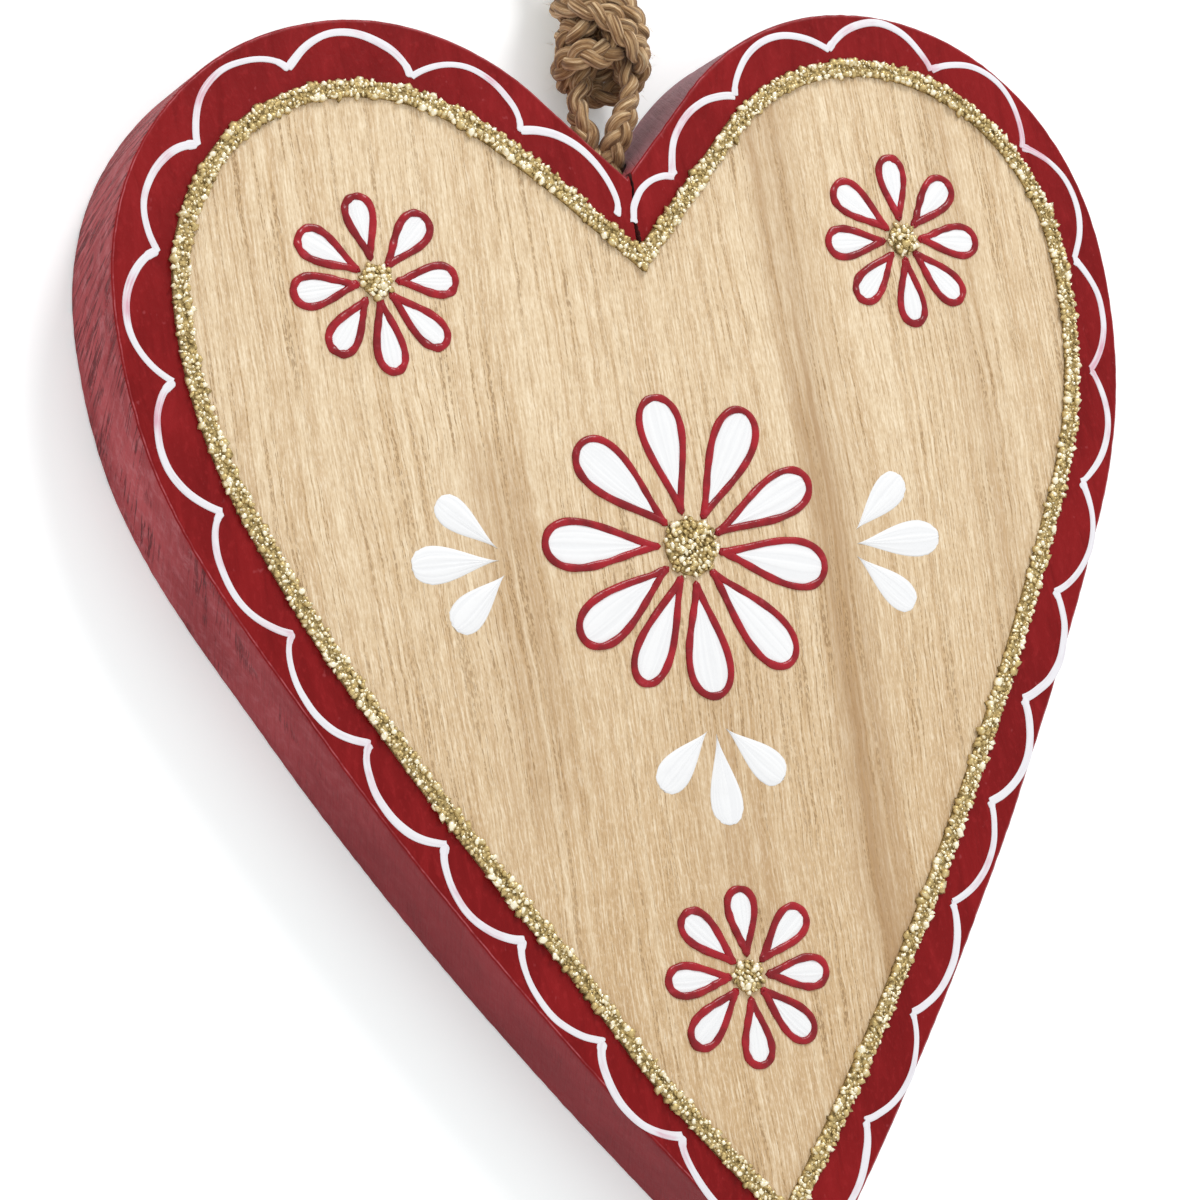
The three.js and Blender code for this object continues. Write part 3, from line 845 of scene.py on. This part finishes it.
def scallop_line(material):
    """The scalloped white line, one overlapping stroke after another"""
    rng = np.random.default_rng(21)
    parts = []
    across = np.linspace(-1, 1, BEAD_SIDES)
    for cusps, swell in ((LEFT_CUSPS, LEFT_SWELL), (RIGHT_CUSPS, RIGHT_SWELL)):
        table = np.array(cusps) * MM
        for start, end in zip(table[:-1], table[1:]):
            path, half = scallop_stroke(start[:2], end[:2], start[2], swell, rng)
            height = np.full(len(path), rng.uniform(0.08, 0.12) * MM)
            points, faces = bead(path, half, height, False)
            travelled = np.concatenate([[0], np.cumsum(np.hypot(*np.diff(path, axis=0).T))])
            hairs = np.stack([
                np.tile(across, len(path)) * 3.2,
                np.repeat(travelled / MM, BEAD_SIDES) * 0.22,
                np.full(len(points), rng.uniform(0, 50)),
            ], axis=1)
            parts.append((points, faces, {"stroke": hairs}))
    return merged_mesh("scallop_line", parts, material)


def teardrop(base, tip, width, sharpness, steps, rng):
    """Closed outline from the pointed base round the blunt end and back"""
    reach = np.linalg.norm(tip - base)
    run = (tip - base) / reach
    side = np.array([-run[1], run[0]])
    phase = np.linspace(0, 2 * math.pi, 2 * steps, endpoint=False)
    swell = np.sin(phase) * np.abs(np.sin(phase / 2)) ** sharpness
    swell /= swell.max()
    ahead = (1 - np.cos(phase)) / 2 * reach
    beside = swell * width / 2
    beside = beside + reach * 0.012 * rng.normal() * np.sin(phase / 2) ** 2
    return base + run * ahead[:, None] + side * beside[:, None]


def brushed_fill(outline, height, rng):
    """White paint inside a teardrop, crowned and combed by the brush along its length"""
    count = len(outline)
    half = count // 2
    wide = 2 * FILL_ROWS + 1
    left = outline[:half + 1]
    right = np.concatenate([outline[:1], outline[:half - 1:-1]])
    shares = np.linspace(0, 1, wide)
    grid = left[:, None] * (1 - shares)[None, :, None] + right[:, None] * shares[None, :, None]
    crown = np.clip(1 - np.abs(2 * shares - 1) ** 3, 0, 1)
    phase = np.linspace(0, math.pi, half + 1)
    lengthwise = np.clip(np.sin(phase) ** 0.4, 0, 1)
    hairs = rng.normal(0, 1, wide)
    drift = np.cumsum(rng.normal(0, 0.22, (half + 1, wide)), axis=0)
    comb = 0.13 * np.clip(hairs[None, :] + drift, -1.6, 1.6)
    lift = height * crown[None, :] * lengthwise[:, None] * (1 + comb)
    top = np.dstack([grid, FACE + np.clip(lift, 0, None)])
    points = top.reshape(-1, 3)
    faces = ring_faces(half + 1, wide, closed_columns=False)
    floor = at_height(outline, FACE - PAINT_FOOT)
    first = len(points)
    border = [k * wide for k in range(half + 1)] + [k * wide + wide - 1 for k in range(half - 1, 0, -1)]
    for i in range(count):
        j = (i + 1) % count
        faces.append([border[i], border[j], first + j, first + i])
    faces.append([first + i for i in range(count)])
    # Painted shade in the furrows of the combing, which the white paint greys
    streak = np.concatenate([np.clip(0.5 - comb.ravel() * 2.5, 0, 1), np.full(count, 0.5)])
    return np.concatenate([points, floor]), faces, {"streak": streak}


def flower_paint(name, flower, white, red):
    """A flower's white petals and the red beads that outline them"""
    rng = np.random.default_rng(sum(map(ord, name)))
    centre = np.array(flower["centre"]) * MM
    dot_radius = flower["dot"][0] * MM
    fills, beads = [], []
    for angle, reach, breadth in flower["petals"]:
        run = direction(math.radians(angle))
        lean = rng.normal(0, 0.02)
        base = centre + direction(math.radians(angle) + lean) * (dot_radius + rng.uniform(0.3, 0.9) * MM)
        tip = centre + run * (reach * MM - LINER_WIDTH / 2)
        outline = teardrop(base, tip, breadth * MM - LINER_WIDTH, rng.uniform(1.6, 1.95), 40, rng)
        fills.append(brushed_fill(outline, PETAL_RISE, rng))
        steps = len(outline)
        lumps = unit_noise(np.arange(steps, dtype=float), steps, 14, rng)
        half = LINER_WIDTH / 2 * (1 + 0.12 * lumps)
        height = LINER_HEIGHT * (1 + 0.22 * np.roll(lumps, 5))
        beads.append((*bead(outline, half, height, True), {}))
    return merged_mesh(f"{name}_petal_white", fills, white), merged_mesh(f"{name}_petal_outline", beads, red)


def white_drops(material):
    rng = np.random.default_rng(77)
    parts = []
    for base, tip, width in DROPS:
        base = np.array(base) * MM
        tip = np.array(tip) * MM
        outline = teardrop(base, tip, width * MM, rng.uniform(1.7, 2.2), 34, rng)
        far = np.clip(((outline - base) @ (tip - base)) / np.dot(tip - base, tip - base) - 0.7, 0, 1) * 3.3
        outline = outline + rng.normal(0, 0.07 * MM, outline.shape) * far[:, None]
        parts.append(brushed_fill(outline, DROP_RISE, rng))
    return merged_mesh("white_drops", parts, material)


def icosahedron():
    golden = (1 + 5 ** 0.5) / 2
    points = []
    for a in (-1, 1):
        for b in (-golden, golden):
            points += [(0, a, b), (a, b, 0), (b, 0, a)]
    points = np.array(points) / math.hypot(1, golden)
    edge = 2 / math.hypot(1, golden) * 1.01
    gap = np.linalg.norm(points[:, None] - points[None], axis=2)
    faces = []
    for i in range(12):
        for j in range(i + 1, 12):
            for k in range(j + 1, 12):
                if gap[i, j] < edge and gap[j, k] < edge and gap[i, k] < edge:
                    outwards = np.dot(np.cross(points[j] - points[i], points[k] - points[i]), points[i]) > 0
                    faces.append([i, j, k] if outwards else [i, k, j])
    return points, np.array(faces)


def grains(places, sizes, rng):
    """Rough rounded grains at the given places, with painted light: paler on top and darker underneath, where
    they sit in the paste
    """
    ball, ball_faces = icosahedron()
    count = len(places)
    tints = rng.uniform(*GRAIN_TINTS, count)
    turn = np.linalg.qr(rng.normal(size=(count, 3, 3)))[0]
    stretch = rng.uniform(0.65, 1.4, (count, 1, 3))
    jag = 1 + rng.normal(0, 0.2, (count, 12, 1))
    offset = (ball[None] * stretch * jag) @ turn * sizes[:, None, None]
    points = offset + places[:, None]
    handed = np.linalg.det(turn) > 0
    faces = ball_faces[None] + (np.arange(count) * 12)[:, None, None]
    faces = np.where(handed[:, None, None], faces, faces[:, :, ::-1])
    # Painted light on each grain: paler towards its top, darker towards its foot
    lit = np.clip(0.55 + 0.6 * offset[:, :, 2] / sizes[:, None], 0.1, 1.1)
    tint_and_shade = tints[:, None] * lit
    return points.reshape(-1, 3), faces.reshape(-1, 3).tolist(), {"tint_and_shade": tint_and_shade.ravel()}


def glitter_mesh(name, paste, faces, crust, material):
    """A bed of paste and the grains on it"""
    bed = (paste, faces, {"tint_and_shade": np.full(len(paste), PASTE_TINT)})
    return merged_mesh(name, [bed, crust], material)


def glitter_border(material):
    """Double bead of paste, covered with grains"""
    rng = np.random.default_rng(3)
    loops = []
    for across, height in GLITTER_SECTION:
        ring = glitter_loop(GLITTER_INSET + across * PASTE_HALF)[::2]
        lift = 0.7 * height * GLITTER_HEIGHT - (PASTE_SINK if height == 0 else 0)
        loops.append(at_height(ring, FACE + lift))
    columns = len(loops[0])
    paste = np.concatenate(loops)
    paste_faces = [face[::-1] for face in ring_faces(len(loops), columns, closed_rows=True)]
    section = np.array(GLITTER_SECTION)
    places, sizes = [], []
    for row, radius, spacing in GRAIN_ROWS:
        loop = glitter_loop(GLITTER_INSET + row * PASTE_HALF)
        along, whole = loop_lengths(loop)
        count = int(whole / (spacing * MM))
        at = (np.arange(count) + rng.uniform(-0.42, 0.42, count)) * whole / count % whole
        place = between(at, along, loop, whole)
        side = between(at, along, outward(loop), whole)
        shift = rng.uniform(-0.14, 0.14, count) * PASTE_HALF
        lift = np.interp(row - shift / PASTE_HALF, section[:, 0], section[:, 1]) * GLITTER_HEIGHT
        height = FACE + np.clip(lift * rng.uniform(0.54, 0.76, count), 0.12 * MM, None)
        places.append(np.column_stack([place + side * shift[:, None], height]))
        sizes.append(radius * MM * rng.uniform(0.55, 1.3, count))
    places = np.concatenate(places)
    sizes = np.concatenate(sizes)
    return glitter_mesh("glitter_trim", paste, paste_faces, grains(places, sizes, rng), material)


def glitter_dot(name, flower, material):
    """Low dome of paste, covered with grains"""
    rng = np.random.default_rng(sum(map(ord, name)) + 1)
    centre = np.array(flower["centre"]) * MM
    radius, height = (size * MM for size in flower["dot"])
    sides, rings = 40, 6
    turn = circle(sides)
    rows = []
    for k in range(rings):
        rise = math.pi / 2 * k / rings
        reach = radius * 0.94 * math.cos(rise)
        lift = height * 0.75 * math.sin(rise) - (PASTE_SINK if k == 0 else 0)
        ring = centre + reach * np.stack([np.cos(turn), np.sin(turn)], axis=1)
        rows.append(at_height(ring, FACE + lift))
    faces = ring_faces(rings, sides)
    faces += [list(range(sides))[::-1], [(rings - 1) * sides + i for i in range(sides)]]
    paste = np.concatenate(rows)
    count = int(3.1 * (radius / (0.68 * MM)) ** 2)
    order = np.arange(count) + 0.5
    reach = radius * np.sqrt(order / count) * rng.uniform(0.93, 1.03, count)
    angle = order * GOLDEN_ANGLE + rng.normal(0, 0.12, count)
    lift = height * np.sqrt(np.clip(1 - (reach / radius) ** 2, 0.02, 1)) * rng.uniform(0.72, 0.95, count)
    across = centre[0] + reach * np.cos(angle)
    along = centre[1] + reach * np.sin(angle)
    sizes = DOT_GRAIN_RADIUS * rng.uniform(0.6, 1.35, count)
    crust = grains(np.column_stack([across, along, FACE + lift]), sizes, rng)
    return glitter_mesh(f"{name}_glitter_grains", paste, faces, crust, material)


def cord_controls():
    """The points that the cord's middle line goes through: up one leg, the knot, the loop and back"""
    notch_y = heart_outline()[0][1] / MM
    across = np.array([math.cos(KNOT_TURN), 0, math.sin(KNOT_TURN)])
    out = np.array([-math.sin(KNOT_TURN), 0, math.cos(KNOT_TURN)])
    up = np.array([0, 1, 0])

    def place(point):
        return KNOT_CENTRE + across * point[0] + up * point[1] + out * point[2]

    def leg(x):
        middle = FACE / MM / 2
        return [(x, notch_y - CORD_HOLE_REACH, middle), (x, notch_y + 2.7, middle + 0.2)]

    points = leg(-LEG_SPACING / 2)
    points += [place(point) for point in LEFT_STRAND]
    points += LOOP
    points += [place(point) for point in reversed(RIGHT_STRAND)]
    points += leg(LEG_SPACING / 2)[::-1]
    return np.array([np.asarray(point, float) for point in points]) * MM


def blend(first, second, start, end, at):
    """The point at a time between those of two points"""
    return (end - at) / (end - start) * first + (at - start) / (end - start) * second


def smooth_route(controls):
    """Centripetal spline through the control points, cut into equal steps"""
    before = 2 * controls[0] - controls[1]
    after = 2 * controls[-1] - controls[-2]
    points = np.concatenate([[before], controls, [after]])
    dense = []
    for i in range(len(controls) - 1):
        p0, p1, p2, p3 = points[i:i + 4]
        t0 = 0.0
        t1 = t0 + np.linalg.norm(p1 - p0) ** 0.5
        t2 = t1 + np.linalg.norm(p2 - p1) ** 0.5
        t3 = t2 + np.linalg.norm(p3 - p2) ** 0.5
        t = np.linspace(t1, t2, 40, endpoint=False)[:, None]
        middle = blend(p1, p2, t1, t2, t)
        early = blend(blend(p0, p1, t0, t1, t), middle, t0, t2, t)
        late = blend(middle, blend(p2, p3, t2, t3, t), t1, t3, t)
        dense.append(blend(early, late, t1, t2, t))
    dense = np.concatenate(dense + [controls[-1:]])
    travelled = np.concatenate([[0], np.cumsum(np.linalg.norm(np.diff(dense, axis=0), axis=1))])
    count = int(round(travelled[-1] / CORD_STEP)) + 1
    return between(np.linspace(0, travelled[-1], count), travelled, dense), travelled[-1]


def smoothed(values, reach):
    """Weighted running mean along the first axis"""
    offsets = np.arange(-3 * reach, 3 * reach + 1)
    weights = np.exp(-(offsets / reach) ** 2)
    weights /= weights.sum()
    padded = np.pad(values, ((3 * reach, 3 * reach), (0, 0)), mode="edge")
    return np.stack([np.convolve(column, weights, mode="valid") for column in padded.T], axis=1)


def plait_frames(route):
    """Tangent, broad side and thin side of the flat plait along its route"""
    tangent = unit(np.gradient(route, axis=0))
    knot = KNOT_CENTRE * MM
    away = route - knot
    away[:, 1] *= 0.35
    distance = np.linalg.norm(route - knot, axis=1)
    in_knot = np.clip((14 * MM - distance) / (4 * MM), 0, 1)[:, None]
    in_loop = np.clip((route[:, 1:2] - knot[1] - 16 * MM) / (14 * MM), 0, 1)
    to_view = -np.array(CAMERA_LOOK)
    wish = away / (np.linalg.norm(away, axis=1)[:, None] + 2 * MM) * in_knot
    wish = wish + (1 - in_knot) * ((1 - in_loop) * to_view + in_loop * np.array([0, 0, 1.0]))
    wish = square_to(wish, tangent)
    # The plait looks the same turned by half a turn, so the thin side may keep its sign from step to step
    for i in range(1, len(wish)):
        if np.dot(wish[i], wish[i - 1]) < 0:
            wish[i] = -wish[i]
    thin = square_to(smoothed(wish, 7), tangent)
    for i in range(len(thin)):
        size = np.linalg.norm(thin[i])
        if size < 0.15 and i:
            thin[i] = thin[i - 1] - tangent[i] * np.dot(thin[i - 1], tangent[i])
            size = np.linalg.norm(thin[i])
        thin[i] /= size
    broad = np.cross(thin, tangent)
    return tangent, broad, thin


def plaited_cord(material):
    """Three twisted strands of jute plaited flat, each swept along its own weaving line"""
    rng = np.random.default_rng(8)
    route, length = smooth_route(cord_controls())
    tangent, broad, thin = plait_frames(route)
    along = np.linspace(0, length, len(route))
    squeeze = 1 + 0.05 * unit_noise(along, length, 24, rng)
    turn = circle(STRAND_SIDES)
    parts = []
    for strand in range(3):
        phase = 2 * math.pi * (along / PLAIT_PERIOD + strand / 3)
        sway = PLAIT_SWAY * np.sin(phase) * squeeze
        depth = PLAIT_DEPTH * np.sin(2 * phase)
        line = route + broad * sway[:, None] + thin * depth[:, None]
        line_run = unit(np.gradient(line, axis=0))
        up = unit(square_to(thin, line_run))
        across = np.cross(up, line_run)
        twist = turn[None, :] - along[:, None] / PLY_TWIST
        plies = 0.5 + 0.5 * np.cos(PLIES * twist + strand)
        fine = smoothed(rng.normal(0, 1, (len(route), STRAND_SIDES)), 4)
        radius = STRAND_RADIUS * squeeze[:, None] * (0.94 + 0.09 * plies + 0.13 * fine)
        ring = (across[:, None] * np.cos(turn)[None, :, None]
                + up[:, None] * np.sin(turn)[None, :, None] * STRAND_FLATNESS) * radius[:, :, None]
        points = (line[:, None] + ring).reshape(-1, 3)
        faces = [face[::-1] for face in ring_faces(len(route), STRAND_SIDES)]
        last = (len(route) - 1) * STRAND_SIDES
        faces += [list(range(STRAND_SIDES)), [last + i for i in range(STRAND_SIDES)][::-1]]
        # Low where the plies and the fine noise dip the strand, which the jute paints as shade
        tint_and_shade = np.clip(0.2 + 0.5 * plies + 0.35 * fine, 0, 1)
        run = np.broadcast_to(along[:, None] * FIBRES_ALONG, twist.shape)
        fibre = np.stack([np.cos(twist) * FIBRES_ROUND, np.sin(twist) * FIBRES_ROUND, run], axis=-1)
        parts.append((points, faces, {"tint_and_shade": tint_and_shade.ravel(), "fibre": fibre.reshape(-1, 3) + 40 * strand}))
    return merged_mesh("jute_cord", parts, material), route, length


def loose_fibres(route, material):
    """Short hairs that stand off the cord"""
    rng = np.random.default_rng(15)
    tangent, broad, thin = plait_frames(route)
    parts = []
    corner = circle(HAIR_SIDES)
    share = np.linspace(0, 1, HAIR_STEPS)[:, None]
    last = (HAIR_STEPS - 1) * HAIR_SIDES
    hair_faces = ring_faces(HAIR_STEPS, HAIR_SIDES) + [[2, 1, 0], [last, last + 1, last + 2]]
    foot = len(route) - round((CORD_HOLE_REACH + TUFT_RISE) * MM / CORD_STEP)
    for count in range(HAIRS + TUFT_HAIRS):
        in_tuft = count >= HAIRS
        i = foot + rng.integers(-2, 3) if in_tuft else rng.integers(12, len(route) - 12)
        turn = rng.uniform(0, 2 * math.pi)
        out = broad[i] * math.cos(turn) + thin[i] * math.sin(turn)
        if in_tuft:
            out = -np.array(CAMERA_LOOK) + rng.normal(0, 0.35, 3)
            out /= np.linalg.norm(out)
        start = route[i] + out * rng.uniform(1.3, 1.8) * MM
        lean = tangent[i] * rng.choice((-1, 1)) * rng.uniform(0.4, 1.6) + out * rng.uniform(0.15, 0.8)
        lean += rng.normal(0, 0.25, 3)
        lean /= np.linalg.norm(lean)
        curl = np.cross(lean, rng.normal(size=3))
        reach = rng.uniform(0.5, 1.9) * MM
        line = start + lean * reach * share + curl * reach * 0.3 * share ** 2
        line[:, 2] = np.maximum(line[:, 2], 0.1 * MM)
        thick = rng.uniform(0.018, 0.032) * MM * (1 - 0.7 * share[:, 0]) * (TUFT_THICKNESS if in_tuft else 1)
        side = np.cross(lean, out + 0.01)
        side /= np.linalg.norm(side)
        other = np.cross(lean, side)
        ring = side[None] * np.cos(corner)[:, None] + other[None] * np.sin(corner)[:, None]
        points = (line[:, None] + ring[None] * thick[:, None, None]).reshape(-1, 3)
        fibre = np.full((len(points), 3), rng.uniform(0, 90))
        parts.append((points, hair_faces, {"tint_and_shade": np.full(len(points), 1.0), "fibre": fibre}))
    return merged_mesh("cord_fibres", parts, material)


def key_light():
    data = bpy.data.lights.new("key", "AREA")
    data.shape = "DISK"
    data.size = KEY_SIZE
    data.energy = KEY_POWER
    light = bpy.data.objects.new("key", data)
    light.location = KEY_PLACE
    light.rotation_euler = (-Vector(KEY_PLACE)).to_track_quat("-Z", "Y").to_euler()
    bpy.context.scene.collection.objects.link(light)


def studio():
    """Pale floor, one large soft key from the upper right, and an even white surround"""
    corners = [(x * FLOOR_HALF, y * FLOOR_HALF, 0) for x, y in ((-1, -1), (1, -1), (1, 1), (-1, 1))]
    finish = bpy.data.materials.new("pale_floor")
    finish.use_nodes = True
    fill_inputs(finish.node_tree.nodes["Principled BSDF"], {
        "Base Color": FLOOR_COLOUR, "Roughness": 0.9, "Specular IOR Level": 0.2,
        "Emission Color": FLOOR_GLOW, "Emission Strength": FLOOR_GLOW_STRENGTH,
    })
    floor = make_mesh("floor", corners, [[0, 1, 2, 3]], [finish], False)
    floor.location.z = -FLOOR_DROP
    world = bpy.data.worlds.new("surround")
    world.use_nodes = True
    surround = {"Color": (1, 1, 1, 1), "Strength": SURROUND_STRENGTH}
    fill_inputs(world.node_tree.nodes["Background"], surround)
    bpy.context.scene.world = world
    bpy.context.scene.view_settings.view_transform = "Standard"
    key_light()


def ride_root(piece):
    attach(piece, "root")
    return piece


make_camera()

jute_finish = jute()
cord, cord_route, cord_length = plaited_cord(jute_finish)
fibres = loose_fibres(cord_route, jute_finish)
for piece in (cord, fibres):
    ride_root(piece)
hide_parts("hanging_cord")

board = board_mesh(red_paint(), side_paint(), bare_wood())
hidden_wood = cut_wood()
cut_away(board, hole_cutter(hidden_wood))
cut_away(board, split_cutter(hidden_wood))
ride_root(board)
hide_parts("heart_body")

ride_root(scallop_line(thin_white_paint()))
white_finish = white_paint()
liner_finish = red_liner()
glitter_finish = gold_glitter()
ride_root(white_drops(white_finish))
trim = ride_root(glitter_border(glitter_finish))
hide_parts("glitter_border")
for flower_name, flower in FLOWERS.items():
    petals, outlines = flower_paint(flower_name, flower, white_finish, liner_finish)
    ride_root(petals)
    ride_root(outlines)
    dot = ride_root(glitter_dot(flower_name, flower, glitter_finish))
    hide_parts(f"{flower_name}_flower_glitter")

studio()
